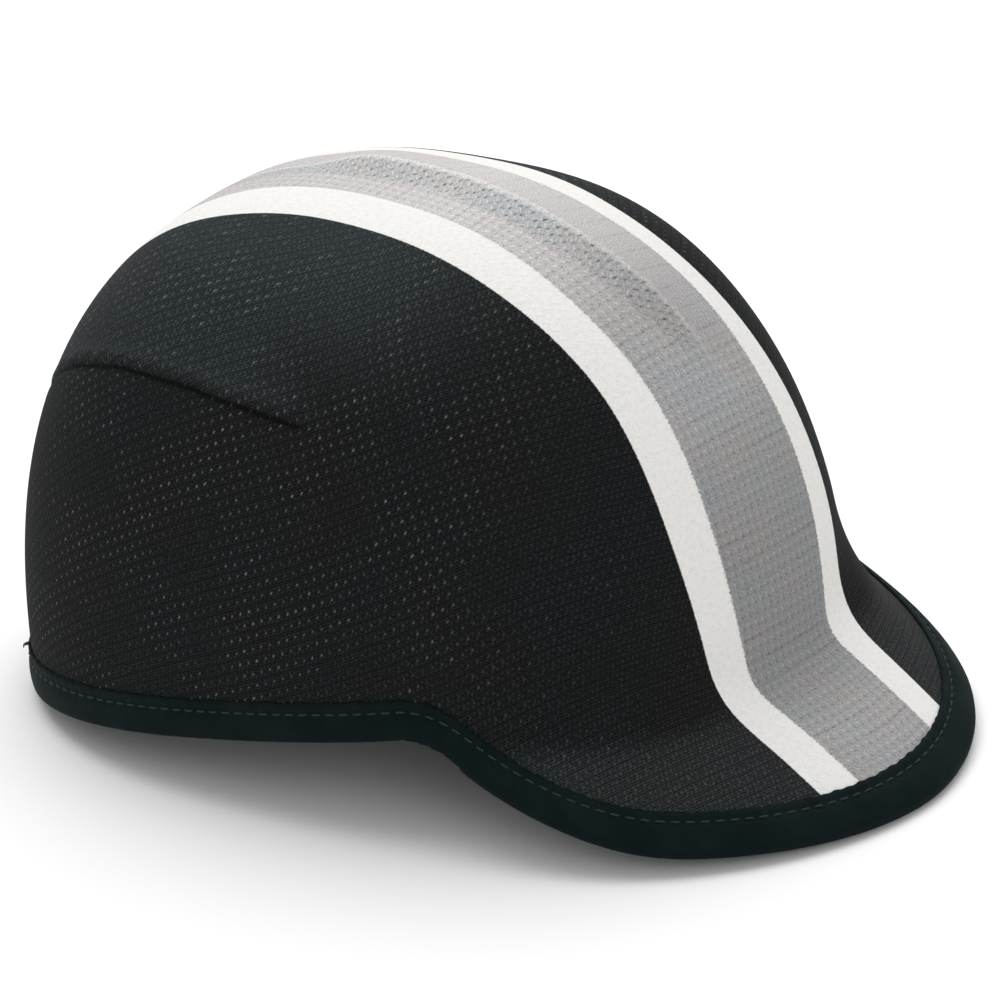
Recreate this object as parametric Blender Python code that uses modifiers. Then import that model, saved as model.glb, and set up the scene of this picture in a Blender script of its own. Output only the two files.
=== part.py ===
"""Cycling cap: one knitted cloth over crown and peak, the peak's firm body under it, and a taped edge.

Metres, +Z up. The cap rests on Z = 0 by the back of its edge and the front of its peak. The front is -Y.
"turn" is the direction around the crown in degrees: 0 at the front, 90 at the side, 180 at the back.
Lengths ahead and behind are from the crown's own axis. The origin is under the middle of the whole cap.
"""
import math
from functools import lru_cache

import bmesh
import bpy
import numpy as np

# Crown outline at its rim, seen from above
CROWN_HALF_WIDTH = 0.0785
CROWN_FRONT = 0.1065
CROWN_BACK = 0.0930
FRONT_POWER = 2.42
BACK_POWER = 2.53

# Crown seen from the side
CROWN_HEIGHT = 0.1270
CROWN_TOP_SHIFT = -0.0135
PROFILE_POWER_FRONT = 2.31
PROFILE_POWER_SIDE = 2.45
PROFILE_POWER_BACK = 2.70
RIM_TUCK = 0.0020
RIM_SLOPE = 0.179

# Peak
PEAK_ROOT_FORWARD = 0.0530
PEAK_REACH = 0.1405
PEAK_HALF_WIDTH = 0.0795
PEAK_POWER = 1.885
PEAK_FLARE = 2.5
PEAK_TIP_HEIGHT = 0.0032
PEAK_SIDE_HEIGHT = 0.0060
PEAK_SIDE_RISE_POWER = 1.6
CREASE_HEIGHT = 0.0265
CREASE_DROP_POWER = 1.0
CREASE_FILLET = 0.0150
PEAK_BOW = 0.0012

# Cloth, firm peak and binding
CLOTH_WALL = 0.0012
PEAK_WALL = 0.0016
PEAK_INSET = 0.0008
TAPE_WALL = 0.0008
TAPE_WIDTH = 0.0095
CLEARANCE = 0.0004
REST_FLAT = 0.0004

# Ridge of the dart on the top centre line
RIDGE_HEIGHT = 0.0022
RIDGE_HALF_WIDTH = 0.0150
RIDGE_FRONT_SHARE = 0.78
RIDGE_BACK_SHARE = 0.25
RIDGE_FADE = 0.0250

# Dart around the sides and the back: turn, and share of the way from the top down to the rim
DART_DEPTH = 0.0012
DART_HALF_WIDTH = 0.0040
DART_START = 84.0
DART_FADE = 14.0
DART_ROUTE = (
    (0.0, 0.50),
    (84.0, 0.50),
    (100.0, 0.475),
    (120.0, 0.48),
    (132.0, 0.51),
    (146.0, 0.585),
    (180.0, 0.62),
)

# Divisions
PEAK_COLUMNS = 14
FREE_COLUMNS = 3
ROOT_CROWDING = 0.5
BACK_COLUMNS = 14
TOP_ROWS = 6
SIDE_ROWS = 5
FOLD_ROWS = 2
PEAK_ROWS = 7
ROW_CROWDING = 1.2
PROFILE_STEPS = 90
PEAK_STEPS = 14
FILLET_STEPS = 12
ROOT_TOLERANCE = 1e-6
STEP_TURN = 0.4
STEP_ARC = 0.0004
EASE_TURNS = (-4.0, -2.0, 0.0, 2.0, 4.0)


def crown_plan(turn):
    """Point of the crown's outline seen from above, a superellipse with unlike front and back."""
    angle = math.radians(turn)
    ahead = math.cos(angle)
    aside = math.sin(angle)
    power = FRONT_POWER if ahead > 0 else BACK_POWER
    reach = CROWN_FRONT if ahead > 0 else CROWN_BACK
    x = math.copysign(CROWN_HALF_WIDTH * abs(aside) ** (2 / power), aside)
    y = -math.copysign(reach * abs(ahead) ** (2 / power), ahead)
    return x, y


def root_turn():
    """Turn at which the peak leaves the crown, where the outline is PEAK_ROOT_FORWARD ahead."""
    ahead = (PEAK_ROOT_FORWARD / CROWN_FRONT) ** (FRONT_POWER / 2)
    return math.degrees(math.acos(ahead))


def rim_height(y):
    """Height of the cloth's rim, which rises from the back to the peak's roots."""
    return RIM_SLOPE * (CROWN_BACK - y) + CLEARANCE + TAPE_WALL - REST_FLAT


def peak_share(turn):
    """0 on the peak's centre line and 1 at its roots, more than 1 behind them."""
    return abs(turn) / root_turn()


def is_behind_root(turn):
    """Whether a column ends at the rim instead of running on over the peak."""
    return peak_share(turn) > 1 - ROOT_TOLERANCE


def crease_height(turn):
    """Height at which the crown turns into the peak, or ends at its rim."""
    if is_behind_root(turn):
        return rim_height(crown_plan(turn)[1])
    root = rim_height(-PEAK_ROOT_FORWARD)
    lift = math.cos(peak_share(turn) * math.pi / 2) ** CREASE_DROP_POWER
    return root + (CREASE_HEIGHT - root) * lift


def peak_edge(turn):
    """Point on the peak's outer edge, for a turn between its roots."""
    share = peak_share(turn)
    angle = share * math.pi / 2
    root_x, root_y, root_z = dome(root_turn())[-1]
    half_width = root_x + (PEAK_HALF_WIDTH - root_x) * min(1.0, PEAK_FLARE * (1 - share))
    x = math.copysign(half_width * math.sin(angle) ** (2 / PEAK_POWER), turn)
    y = root_y - (PEAK_REACH + root_y) * max(math.cos(angle), 0.0) ** (2 / PEAK_POWER)
    if share < 0.5:
        z = PEAK_TIP_HEIGHT + (PEAK_SIDE_HEIGHT - PEAK_TIP_HEIGHT) * (share / 0.5) ** 2
    else:
        z = PEAK_SIDE_HEIGHT + (root_z - PEAK_SIDE_HEIGHT) * (share / 0.5 - 1) ** PEAK_SIDE_RISE_POWER
    return np.array((x, y, z))


def dome(turn):
    """Points from the crown's top down its outside to the crease or the rim."""
    ahead = math.cos(math.radians(turn)) ** 2
    end_power = PROFILE_POWER_FRONT if abs(turn) < 90 else PROFILE_POWER_BACK
    power = end_power * ahead + PROFILE_POWER_SIDE * (1 - ahead)
    lift = np.sin(np.linspace(math.pi / 2, 0, PROFILE_STEPS)) ** (2 / power)
    spread = np.cos(np.linspace(math.pi / 2, 0, PROFILE_STEPS)) ** (2 / power)
    x, y = crown_plan(turn)
    spread = spread * (1 - RIM_TUCK / CROWN_HALF_WIDTH * (1 - lift) ** 3)
    points = np.empty((PROFILE_STEPS, 3))
    points[:, 0] = x * spread
    points[:, 1] = CROWN_TOP_SHIFT + (y - CROWN_TOP_SHIFT) * spread
    points[:, 2] = CROWN_HEIGHT * lift
    return cut_below(points, crease_height(turn))


def cut_below(points, height):
    """The part of a falling line of points that is above a height, ended exactly there."""
    above = int(np.sum(points[:, 2] > height))
    high, low = points[above - 1], points[above]
    share = (high[2] - height) / (high[2] - low[2])
    return np.vstack((points[:above], high + share * (low - high)))


def arc_lengths(points):
    """Distance along a line of points, from its first."""
    return np.concatenate(((0.0,), np.cumsum(np.linalg.norm(np.diff(points, axis=0), axis=1))))


def along(points, arcs, arc):
    """Point at a distance along a line, carried on straight past its end."""
    if arc > arcs[-1]:
        step = (points[-1] - points[-2]) / (arcs[-1] - arcs[-2])
        return points[-1] + step * (arc - arcs[-1])
    return np.array([np.interp(arc, arcs, points[:, axis]) for axis in range(3)])


@lru_cache(maxsize=None)
def column(turn):
    """Line of the cloth's outside from the top to the edge, its arc lengths, and the crease's arc."""
    fall = dome(turn)
    crease = fall[-1]
    crease_arc = arc_lengths(fall)[-1]
    if is_behind_root(turn):
        return fall, arc_lengths(fall), crease_arc
    edge = peak_edge(turn)
    share = np.linspace(0, 1, PEAK_STEPS)[1:, None]
    peak = crease + (edge - crease) * share
    length = float(np.linalg.norm(edge - crease))
    peak[:, 2] += (PEAK_BOW * min(1.0, length / PEAK_ROOT_FORWARD) * 4 * share * (1 - share))[:, 0]
    points = np.vstack((fall, peak))
    arcs = arc_lengths(points)
    fillet = min(CREASE_FILLET, length / 2)
    first = along(points, arcs, crease_arc - fillet)
    last = along(points, arcs, crease_arc + fillet)
    bend = np.linspace(0, 1, FILLET_STEPS)[:, None]
    curve = (1 - bend) ** 2 * first + 2 * bend * (1 - bend) * crease + bend ** 2 * last
    above = points[arcs < crease_arc - fillet - STEP_ARC]
    below = points[arcs > crease_arc + fillet + STEP_ARC]
    points = np.vstack((above, curve, below))
    arcs = arc_lengths(points)
    middle = arc_lengths(above)[-1] + np.linalg.norm(first - above[-1]) + arc_lengths(curve)[-1] / 2
    return points, arcs, float(middle)


def relief(point):
    """Raises the ridge of the top dart."""
    x, y, z = point
    front = -RIDGE_FRONT_SHARE * CROWN_FRONT
    back = RIDGE_BACK_SHARE * CROWN_BACK
    fade = np.clip((y - front) / RIDGE_FADE, 0, 1) * np.clip((back - y) / RIDGE_FADE, 0, 1)
    tent = max(0.0, 1 - abs(x) / RIDGE_HALF_WIDTH)
    return np.array((x, y, z + RIDGE_HEIGHT * tent * fade))


def dart_depth(turn):
    """How deep the side dart is sunk, from nothing at its front end."""
    return DART_DEPTH * float(np.clip((abs(turn) - DART_START) / DART_FADE, 0, 1))


def cloth(turn, arc):
    """Point of the cloth's outside at a distance from the top, eased over the columns beside it."""
    share = arc / column(turn)[1][-1]
    total = np.zeros(3)
    for step in EASE_TURNS:
        points, arcs, _ = column(turn + step)
        total += along(points, arcs, arcs[-1] * share)
    return relief(total / len(EASE_TURNS))


def surface(turn, inward):
    """Point of the cloth's outside and its outward normal, at a distance in from the edge."""
    arc = column(turn)[1][-1] - inward
    across = cloth(turn + STEP_TURN, arc) - cloth(turn - STEP_TURN, arc)
    down = cloth(turn, arc + STEP_ARC) - cloth(turn, arc - STEP_ARC)
    normal = np.cross(down, across)
    return cloth(turn, arc), normal / np.linalg.norm(normal)


def turns():
    """Directions of the columns from the front to the back, closer towards the peak's root."""
    root = root_turn()
    even = np.linspace(0, 1, PEAK_COLUMNS + 1)
    front = root * (even + ROOT_CROWDING * (np.sin(even * math.pi / 2) - even))
    back = np.linspace(root, 180, BACK_COLUMNS + 1)[1:]
    return [float(turn) for turn in np.concatenate((front, back))]


def row_arcs(turn, crease_arc, length):
    """Distances from the top at which a column has its rows, with three rows on the dart."""
    share = np.interp(abs(turn), [row[0] for row in DART_ROUTE], [row[1] for row in DART_ROUTE])
    dart = share * crease_arc
    fold = crease_arc - CREASE_FILLET
    rows = list(np.linspace(0, dart - DART_HALF_WIDTH, TOP_ROWS + 1)[1:])
    rows.append(dart)
    rows += list(np.linspace(dart + DART_HALF_WIDTH, fold, SIDE_ROWS + 1))
    rows += list(np.linspace(fold, crease_arc, FOLD_ROWS + 1)[1:])
    if length > crease_arc:
        shares = np.linspace(0, 1, PEAK_ROWS + 1)[1:] ** ROW_CROWDING
        rows += list(crease_arc + (length - crease_arc) * shares)
    return rows


def strip(mesh, left, right):
    """Faces between two columns of vertices, where the shorter one ends in a fan."""
    for row in range(max(len(left), len(right)) - 1):
        a = left[min(row, len(left) - 1)]
        b = left[min(row + 1, len(left) - 1)]
        c = right[min(row + 1, len(right) - 1)]
        d = right[min(row, len(right) - 1)]
        corners = []
        for vertex in (a, b, c, d):
            if vertex not in corners:
                corners.append(vertex)
        mesh.faces.new(corners)


def crown_half():
    """Half of the cloth's outside, open on the centre plane."""
    mesh = bmesh.new()
    top = mesh.verts.new(relief(np.array((0.0, CROWN_TOP_SHIFT, CROWN_HEIGHT))))
    columns = []
    for turn in turns():
        _, arcs, crease_arc = column(turn)
        vertices = [top]
        for index, arc in enumerate(row_arcs(turn, crease_arc, arcs[-1])):
            point = cloth(turn, arc)
            if index == TOP_ROWS:
                _, normal = surface(turn, arcs[-1] - arc)
                point = point - normal * dart_depth(turn)
            vertices.append(mesh.verts.new(on_plane(point, turn)))
        columns.append(vertices)
    for left, right in zip(columns, columns[1:]):
        strip(mesh, left, right)
    return mesh


def on_plane(point, turn):
    """The same point, put exactly on the centre plane where its column lies there."""
    if turn in (0.0, 180.0):
        return (0.0, point[1], point[2])
    return tuple(point)


def peak_half():
    """Half of the firm peak's upper side, from the crease to just short of the edge."""
    mesh = bmesh.new()
    columns = []
    for turn in turns()[:PEAK_COLUMNS - FREE_COLUMNS + 1]:
        _, arcs, crease_arc = column(turn)
        rows = np.array(row_arcs(turn, crease_arc, arcs[-1])[-PEAK_ROWS - 1:])
        inward = np.maximum(arcs[-1] - rows, PEAK_INSET)
        vertices = []
        for distance in inward:
            point, normal = surface(turn, distance)
            vertices.append(mesh.verts.new(on_plane(point - normal * (CLOTH_WALL + CLEARANCE), turn)))
        columns.append(vertices)
    for left, right in zip(columns, columns[1:]):
        strip(mesh, left, right)
    return mesh


def tape_section(thickness):
    """Closed outline of the folded tape: distance in from the edge, and height over the cloth."""
    outer = CLEARANCE + TAPE_WALL
    return (
        (TAPE_WIDTH, outer),
        (TAPE_WIDTH * 2 / 3, outer),
        (TAPE_WIDTH / 3, outer),
        (0.0, outer),
        (-outer, outer - TAPE_WALL),
        (-outer, -thickness - CLEARANCE),
        (0.0, -thickness - outer),
        (TAPE_WIDTH / 3, -thickness - outer),
        (TAPE_WIDTH * 2 / 3, -thickness - outer),
        (TAPE_WIDTH, -thickness - outer),
        (TAPE_WIDTH, -thickness - CLEARANCE),
        (TAPE_WIDTH * 2 / 3, -thickness - CLEARANCE),
        (TAPE_WIDTH / 3, -thickness - CLEARANCE),
        (-CLEARANCE, -thickness - CLEARANCE),
        (-CLEARANCE, CLEARANCE),
        (TAPE_WIDTH / 3, CLEARANCE),
        (TAPE_WIDTH * 2 / 3, CLEARANCE),
        (TAPE_WIDTH, CLEARANCE),
    )


def tape_thickness(index):
    """What the tape is folded over: cloth, and the firm peak too, which thins out before the roots."""
    free = (PEAK_COLUMNS - index) / FREE_COLUMNS
    return CLOTH_WALL + (CLEARANCE + PEAK_WALL) * min(max(free, 0.0), 1.0)


def binding_half():
    """Half of the tape's loop: its folded section carried round the edge."""
    mesh = bmesh.new()
    loops = []
    for index, turn in enumerate(turns()):
        loop = []
        for inward, height in tape_section(tape_thickness(index)):
            base, normal = surface(turn, inward)
            point = base + normal * height
            point[2] = max(point[2], 0.0)
            loop.append(mesh.verts.new(on_plane(point, turn)))
        loops.append(loop)
    for left, right in zip(loops, loops[1:]):
        count = len(left)
        for row in range(count):
            after = (row + 1) % count
            mesh.faces.new((left[row], left[after], right[after], right[row]))
    bmesh.ops.triangulate(mesh, faces=mesh.faces)
    return mesh


def material(name, color, roughness):
    """Plain cloth finish."""
    finish = bpy.data.materials.new(name)
    finish.use_nodes = True
    shader = finish.node_tree.nodes["Principled BSDF"]
    shader.inputs["Base Color"].default_value = (*color, 1.0)
    shader.inputs["Roughness"].default_value = roughness
    shader.inputs["Metallic"].default_value = 0.0
    return finish


def piece(name, half, finish, collection, wall=0.0):
    """Object from a half that is open on the centre plane: mirrored, and thickened if it has a wall."""
    bmesh.ops.recalc_face_normals(half, faces=half.faces)
    data = bpy.data.meshes.new(name)
    half.to_mesh(data)
    half.free()
    data.materials.append(finish)
    data.shade_smooth()
    item = bpy.data.objects.new(name, data)
    collection.objects.link(item)
    mirror = item.modifiers.new("halves", "MIRROR")
    mirror.use_axis = (True, False, False)
    mirror.merge_threshold = 0.00005
    if wall:
        shell = item.modifiers.new("wall", "SOLIDIFY")
        shell.thickness = wall
        shell.offset = -1.0
        shell.use_even_offset = True
    return item


def main():
    """Clears the scene, builds the cap and centres its length over the origin."""
    for item in list(bpy.data.objects):
        bpy.data.objects.remove(item)
    collection = bpy.data.collections.new("cycling_cap")
    bpy.context.scene.collection.children.link(collection)
    knit = material("black_knit", (0.010, 0.012, 0.012), 0.85)
    under = material("peak_cloth", (0.008, 0.009, 0.010), 0.80)
    tape = material("binding_tape", (0.004, 0.008, 0.010), 0.70)
    binding = piece("binding", binding_half(), tape, collection)
    crown = piece("crown", crown_half(), knit, collection, CLOTH_WALL)
    peak = piece("peak", peak_half(), under, collection, PEAK_WALL)
    lengths = [vertex.co.y for vertex in binding.data.vertices]
    for item in (crown, peak, binding):
        item.location.y = -(min(lengths) + max(lengths)) / 2


main()
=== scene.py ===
import math
import bpy
import numpy as np
from mathutils import Matrix, Vector


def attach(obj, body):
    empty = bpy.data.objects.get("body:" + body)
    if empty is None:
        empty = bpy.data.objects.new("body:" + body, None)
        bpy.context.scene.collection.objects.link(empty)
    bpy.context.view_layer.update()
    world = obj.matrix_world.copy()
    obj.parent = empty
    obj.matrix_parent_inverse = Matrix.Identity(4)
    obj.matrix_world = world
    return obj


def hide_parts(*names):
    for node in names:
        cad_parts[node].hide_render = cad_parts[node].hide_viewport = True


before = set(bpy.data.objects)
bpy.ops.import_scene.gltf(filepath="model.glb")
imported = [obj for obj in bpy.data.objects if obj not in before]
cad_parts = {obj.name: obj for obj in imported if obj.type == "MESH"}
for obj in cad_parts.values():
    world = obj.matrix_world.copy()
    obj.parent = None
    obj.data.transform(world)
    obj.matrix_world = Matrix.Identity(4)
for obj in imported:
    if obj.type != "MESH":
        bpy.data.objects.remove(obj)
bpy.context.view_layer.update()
print("frame loaded:", sorted(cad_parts))

# shape of the cap in metres and degrees; turn: direction round the crown, 0 in front, 90 aside, 180 behind
cap = {
    "halfWidth": 0.0785, "front": 0.1065, "back": 0.0930, "frontPower": 2.42, "backPower": 2.53,
    "height": 0.1270, "topShift": -0.0135, "profileFront": 2.31, "profileSide": 2.45, "profileBack": 2.70,
    "rimTuck": 0.0020, "rimSlope": 0.179, "rimLift": 0.0008,
    "rootForward": 0.0530, "peakReach": 0.1405, "peakHalfWidth": 0.0795, "peakPower": 1.885, "peakFlare": 2.5,
    "tipHeight": 0.0032, "sideHeight": 0.0060, "sideRisePower": 1.6, "peakBow": 0.0012,
    "creaseHeight": 0.0265, "fillet": 0.0050, "filletSide": 0.0200,
    "centre": 0.02476,          # the row's origin is this far behind the crown's own axis
    "easeTurns": (-4.0, -2.0, 0.0, 2.0, 4.0),
}


def rimHeight(y):
    # height of the rim: a straight line that rises from the back to the peak's roots
    return cap["rimSlope"] * (cap["back"] - y) + cap["rimLift"]


def crownPlan(turn):
    # outline from above: a superellipse with unlike powers and lengths before and behind
    ahead, aside = np.cos(np.radians(turn)), np.sin(np.radians(turn))
    power = np.where(ahead > 0, cap["frontPower"], cap["backPower"])
    reach = np.where(ahead > 0, cap["front"], cap["back"])
    x = cap["halfWidth"] * np.sign(aside) * np.abs(aside) ** (2 / power)
    return x, -np.sign(ahead) * reach * np.abs(ahead) ** (2 / power)


rootTurn = math.degrees(math.acos((cap["rootForward"] / cap["front"]) ** (cap["frontPower"] / 2)))


def domeLine(turn, count):
    # falling lines of the dome: height * sin^(2/m) over outline * cos^(2/m), tucked in towards the rim
    ahead = np.cos(np.radians(turn)) ** 2
    endPower = np.where(np.abs(turn) < 90, cap["profileFront"], cap["profileBack"])
    power = (endPower * ahead + cap["profileSide"] * (1 - ahead))[:, None]
    x, y = crownPlan(turn)
    share = np.minimum(np.abs(turn) / rootTurn, 1.0)
    rootZ = rimHeight(-cap["rootForward"])
    peakCrease = rootZ + (cap["creaseHeight"] - rootZ) * np.cos(share * np.pi / 2)
    end = np.where(share < 1, peakCrease, rimHeight(y))
    low = np.arcsin((end[:, None] / cap["height"]) ** (power / 2))
    angle = np.pi / 2 + (low - np.pi / 2) * np.linspace(0, 1, count)
    lift = np.sin(angle) ** (2 / power)
    spread = np.maximum(np.cos(angle), 0) ** (2 / power)
    spread = spread * (1 - cap["rimTuck"] / cap["halfWidth"] * (1 - lift) ** 3)
    top = cap["topShift"]
    return np.stack((x[:, None] * spread, top + (y[:, None] - top) * spread, cap["height"] * lift), -1)


def arcLengths(lines):
    # distance along each line of points from its first
    steps = np.linalg.norm(np.diff(lines, axis=1), axis=-1)
    return np.concatenate((np.zeros((len(lines), 1)), np.cumsum(steps, axis=1)), axis=1)


def alongLines(lines, arcs, wanted):
    # points at given distances along each line, by straight steps, carried on past the last point
    count = lines.shape[1]
    offset = np.arange(len(lines))[:, None] * 10.0
    place = np.searchsorted((arcs + offset).ravel(), (wanted + offset).ravel(), side="right").reshape(wanted.shape)
    place = np.clip(place - np.arange(len(lines))[:, None] * count, 1, count - 1)
    rows = np.arange(len(lines))[:, None]
    before, after = arcs[rows, place - 1], arcs[rows, place]
    part = (wanted - before) / np.maximum(after - before, 1e-9)
    part = np.where(after - before < 1e-8, 1.0, part)[..., None]
    return lines[rows, place - 1] * (1 - part) + lines[rows, place] * part


def capLines(turn):
    # whole lines from the top to the edge: dome, a quadratic bend at the crease, straight slightly bowed peak
    dome = domeLine(turn, 160)
    domeArcs = arcLengths(dome)
    crease, creaseArc = dome[:, -1], domeArcs[:, -1:]
    share = np.minimum(np.abs(turn) / rootTurn, 1.0)
    angle = share * np.pi / 2
    root = domeLine(np.array([rootTurn]), 160)[0, -1]
    halfWidth = root[0] + (cap["peakHalfWidth"] - root[0]) * np.minimum(1, cap["peakFlare"] * (1 - share))
    edge = np.empty_like(crease)
    edge[:, 0] = np.sign(turn) * halfWidth * np.sin(angle) ** (2 / cap["peakPower"])
    ahead = np.maximum(np.cos(angle), 0) ** (2 / cap["peakPower"])
    edge[:, 1] = root[1] - (cap["peakReach"] + root[1]) * ahead
    tip, side = cap["tipHeight"], cap["sideHeight"]
    rise = np.maximum(share / 0.5 - 1, 0) ** cap["sideRisePower"]
    edge[:, 2] = np.where(share < 0.5, tip + (side - tip) * (share / 0.5) ** 2, side + (root[2] - side) * rise)
    edge = np.where((share < 1)[:, None], edge, crease)
    length = np.linalg.norm(edge - crease, axis=1)
    fillet = cap["fillet"] + cap["filletSide"] * np.sin(np.pi * share) ** 4
    fillet = np.minimum(fillet, length * 0.7)[:, None]
    along = np.linspace(0, 1, 40)[None, :, None]
    peak = crease[:, None] + (edge - crease)[:, None] * along
    bow = cap["peakBow"] * np.minimum(1, length / cap["rootForward"])[:, None] * 4
    peak[..., 2] += bow * (along * (1 - along))[..., 0]
    peakArcs = arcLengths(peak)
    upper = alongLines(dome, domeArcs, (creaseArc - fillet) * np.linspace(0, 1, 160))
    first, last = upper[:, -1:], alongLines(peak, peakArcs, fillet)
    bend = np.linspace(0, 1, 24)[None, 1:, None]
    curve = (1 - bend) ** 2 * first + 2 * bend * (1 - bend) * crease[:, None] + bend ** 2 * last
    rest = fillet + (peakArcs[:, -1:] - fillet) * np.linspace(0, 1, 40)[None, 1:]
    lower = alongLines(peak, peakArcs, rest)
    return np.concatenate((upper, curve, lower), axis=1)


def clothSurface(turn, share):
    # the cloth's outside at a share of the way from top to edge, averaged over the lines beside each line
    total = 0.0
    for step in cap["easeTurns"]:
        lines = capLines(turn + step)
        arcs = arcLengths(lines)
        total = total + alongLines(lines, arcs, arcs[:, -1:] * share)
    points = total / len(cap["easeTurns"])
    points[..., 1] += cap["centre"]
    return points


def lineLength(turn):
    # length of a line from the top to the edge
    return arcLengths(capLines(turn))[:, -1]


def unit(vectors):
    # vectors over their lengths
    return vectors / np.maximum(np.linalg.norm(vectors, axis=-1, keepdims=True), 1e-12)


def gridNormals(points, closed):
    # outward normals of a grid: cross product of its differences down and across
    down = np.gradient(points, axis=1)
    if closed:
        across = (np.roll(points, -1, axis=0) - np.roll(points, 1, axis=0)) / 2
    else:
        across = np.gradient(points, axis=0)
    return unit(np.cross(down, across))


def smoothStep(low, high, value):
    # 0 below low, 1 above high, and a smooth cubic between
    part = np.clip((value - low) / (high - low), 0, 1)
    return part * part * (3 - 2 * part)


def addObject(name, data):
    # an object of the scene that shows the data
    item = bpy.data.objects.new(name, data)
    bpy.context.scene.collection.objects.link(item)
    return item


def addPiece(name, points, faces, maps, material, nodes=()):
    # a mesh object from points, arrays of faces, and UV maps by point; nodes: the solids that it stands for
    mesh = bpy.data.meshes.new(name)
    faces = [face for part in faces for face in part.tolist()]
    mesh.from_pydata(points.reshape(-1, 3).tolist(), [], faces)
    mesh.update()
    corner = np.empty(len(mesh.loops), dtype=np.int32)
    mesh.loops.foreach_get("vertex_index", corner)
    for mapName, values in maps.items():
        layer = mesh.uv_layers.new(name=mapName)
        layer.data.foreach_set("uv", values.reshape(-1, 2)[corner].astype(np.float32).ravel())
    mesh.materials.append(material)
    mesh.shade_smooth()
    piece = addObject(name, mesh)
    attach(piece, "root")
    if nodes:
        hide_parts(*nodes)
    print("piece", name, len(faces), "faces")


def gridFaces(index, closedAcross=False, closedDown=False, flip=False):
    # four corners of every cell in one or more grids of point numbers
    if closedAcross:
        index = np.concatenate((index, index[..., :1, :]), -2)
    if closedDown:
        index = np.concatenate((index, index[..., :1]), -1)
    here, beside = index[..., :-1, :], index[..., 1:, :]
    cells = np.stack((here[..., :-1], here[..., 1:], beside[..., 1:], beside[..., :-1]), -1).reshape(-1, 4)
    return cells[:, ::-1] if flip else cells


def addNode(tree, kind, inputs, **settings):
    # outputs of a new node with its settings; a value that is a socket is linked to its input, any other is set
    node = tree.nodes.new(kind)
    for name, value in settings.items():
        setattr(node, name, value)
    for name, value in inputs.items():
        if isinstance(value, bpy.types.NodeSocket):
            tree.links.new(value, node.inputs[name])
        elif value is not None:
            node.inputs[name].default_value = value
    return node.outputs


def addMath(tree, operation, *values):
    # the operation on up to three values
    return addNode(tree, "ShaderNodeMath", dict(enumerate(values)), operation=operation)[0]


def times(tree, first, *others):
    # product of the values
    for other in others:
        first = addMath(tree, "MULTIPLY", first, other)
    return first


def plus(tree, base, part, share):
    # base + part * share
    return addMath(tree, "MULTIPLY_ADD", part, share, base)


def weighted(tree, base, parts, shares):
    # base + each part times its share
    for name, share in shares.items():
        base = plus(tree, base, parts[name], share)
    return base


def addVector(tree, operation, first, second=None):
    # the operation on up to two vectors
    outputs = addNode(tree, "ShaderNodeVectorMath", {0: first, 1: second}, operation=operation)
    return outputs["Value" if operation == "LENGTH" else "Vector"]


def addRange(tree, value, low, high, toLow=0.0, toHigh=1.0):
    # toLow where the value is low, toHigh where it is high, and a smooth step between
    inputs = dict(enumerate((value, low, high, toLow, toHigh)))
    return addNode(tree, "ShaderNodeMapRange", inputs, interpolation_type="SMOOTHSTEP")["Result"]


def addMix(tree, factor, first, second, blend="MIX"):
    # first * (1 - factor) + second * factor, or another blend of the two colours
    return addNode(tree, "ShaderNodeMix", {0: factor, 6: first, 7: second}, data_type="RGBA", blend_type=blend)[2]


def addNoise(tree, vector, scale, detail=2.0, rough=0.5):
    # smooth noise from 0 to 1, of a scale in cells per unit of the vector
    inputs = {"Vector": vector, "Scale": scale, "Detail": detail, "Roughness": rough}
    return addNode(tree, "ShaderNodeTexNoise", inputs)["Fac"]


def cloud(tree, vector, values):
    # noise of a scale, detail and roughness, then ranged from a low and a high value
    return addRange(tree, addNoise(tree, vector, *values[:3]), *values[3:])


def addMap(tree, name):
    # the UV map of that name
    return addNode(tree, "ShaderNodeUVMap", {}, uv_map=name)["UV"]


def newGroup(name, inputs, outputs):
    # an empty node group: a vector and numbers with their usual values go in, numbers come out
    group = bpy.data.node_groups.new(name, "ShaderNodeTree")
    group.interface.new_socket(name="Vector", in_out="INPUT", socket_type="NodeSocketVector")
    for socketName, value in inputs.items():
        socket = group.interface.new_socket(name=socketName, in_out="INPUT", socket_type="NodeSocketFloat")
        socket.default_value = value
    for socketName in outputs:
        group.interface.new_socket(name=socketName, in_out="OUTPUT", socket_type="NodeSocketFloat")
    return group, group.nodes.new("NodeGroupInput").outputs, group.nodes.new("NodeGroupOutput").inputs


def useGroup(tree, group, **values):
    # outputs of a node group with the given inputs
    return addNode(tree, "ShaderNodeGroup", values, node_tree=group)


def newMaterial(name, roughness, sheen=0.0, sheenRoughness=0.5, specular=0.3):
    # a material, its tree and its shader with these constants
    material = bpy.data.materials.new(name)
    material.use_nodes = True
    shader = material.node_tree.nodes["Principled BSDF"]
    constants = {"Roughness": roughness, "Metallic": 0.0, "Sheen Weight": sheen,
                 "Sheen Roughness": sheenRoughness, "Specular IOR Level": specular}
    for socketName, value in constants.items():
        shader.inputs[socketName].default_value = value
    return material, material.node_tree, shader


def turnedParts(tree, vector, angle):
    # X and Y of a vector turned about Z
    inputs = {"Vector": vector, "Angle": angle}
    turned = addNode(tree, "ShaderNodeVectorRotate", inputs, rotation_type="Z_AXIS")["Vector"]
    split = addNode(tree, "ShaderNodeSeparateXYZ", {"Vector": turned})
    return split["X"], split["Y"]


def joinParts(tree, x, y):
    # the vector (x, y, 0)
    return addNode(tree, "ShaderNodeCombineXYZ", {"X": x, "Y": y})["Vector"]


markParts = ("Angle", "Across", "Down", "Stagger", "Length", "Width", "Tilt", "Soft")


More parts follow.
